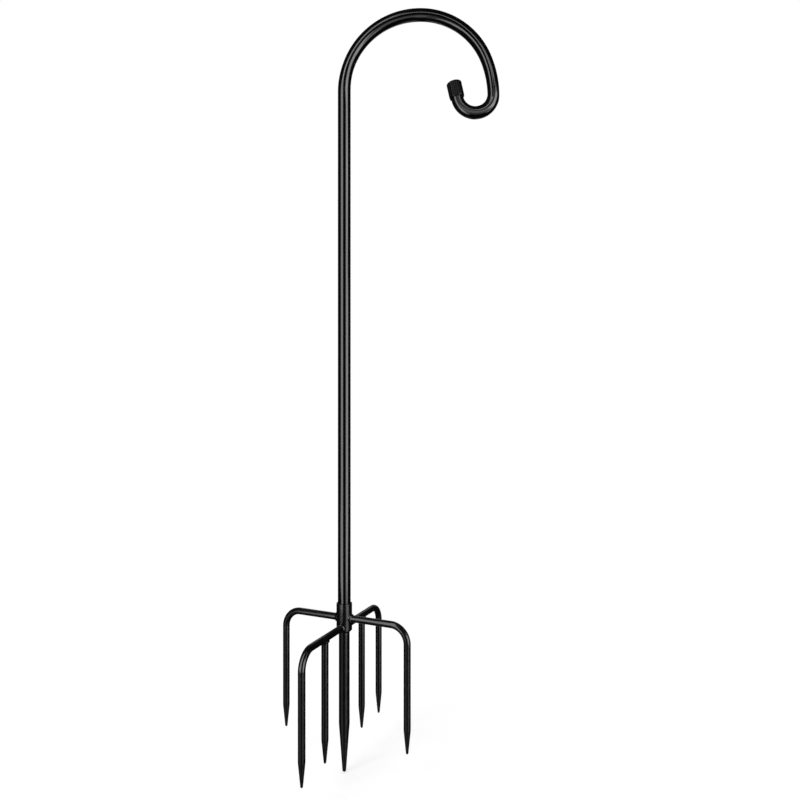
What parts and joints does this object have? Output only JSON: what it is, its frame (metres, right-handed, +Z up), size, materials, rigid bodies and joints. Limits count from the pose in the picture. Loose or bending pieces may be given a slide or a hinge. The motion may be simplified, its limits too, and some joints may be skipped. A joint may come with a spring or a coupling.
{
  "type": "shepherds hook",
  "caption": "Tall steel shepherd's crook: a bent tube with a curled hook and ribbed end cap, plugged into the collar of a welded fork with pointed tines pushed into soil.",
  "frame": {"origin": "on the pole's axis at the ground line, level with the underside of the lower legs and of the collar", "axes": "+Z up along the pole, +X the way the crook reaches, +Y to the back"},
  "size_m": [0.2764, 0.2016, 0.9513],
  "materials": {
    "gloss_black_paint": "smooth glossy black paint on steel tube",
    "satin_black_paint": "satin black paint over drawn rod and welds",
    "ribbed_black_rubber": "matte black moulded rubber with fine ribs",
    "plain_steel": "bare turned steel"
  },
  "bodies": {
    "fork": {"socket_collar": "satin_black_paint", "centre_spike": "satin_black_paint", "leg_left": "satin_black_paint", "leg_right": "satin_black_paint", "leg_front": "satin_black_paint", "leg_back": "satin_black_paint", "inner_tine_front": "satin_black_paint", "inner_tine_back": "satin_black_paint", "weld_spike": "satin_black_paint", "weld_leg_left": "satin_black_paint", "weld_leg_right": "satin_black_paint", "weld_leg_front": "satin_black_paint", "weld_leg_back": "satin_black_paint", "weld_inner_front": "satin_black_paint", "weld_inner_back": "satin_black_paint"},
    "pin": {"joining_pin": "plain_steel"},
    "crook": {"hook_pole": "gloss_black_paint", "hook_end_cap": "ribbed_black_rubber"}
  },
  "joints": [
    {"name": "pole_swivel", "type": "hinge", "parent": "fork", "child": "pin", "pos_m": [0, 0, 0], "axis": [0, 0, 1], "continuous": true},
    {"name": "pole_lift", "type": "slide", "parent": "pin", "child": "crook", "axis": [0, 0, 1], "range_m": [0, 0.045]}
  ]
}
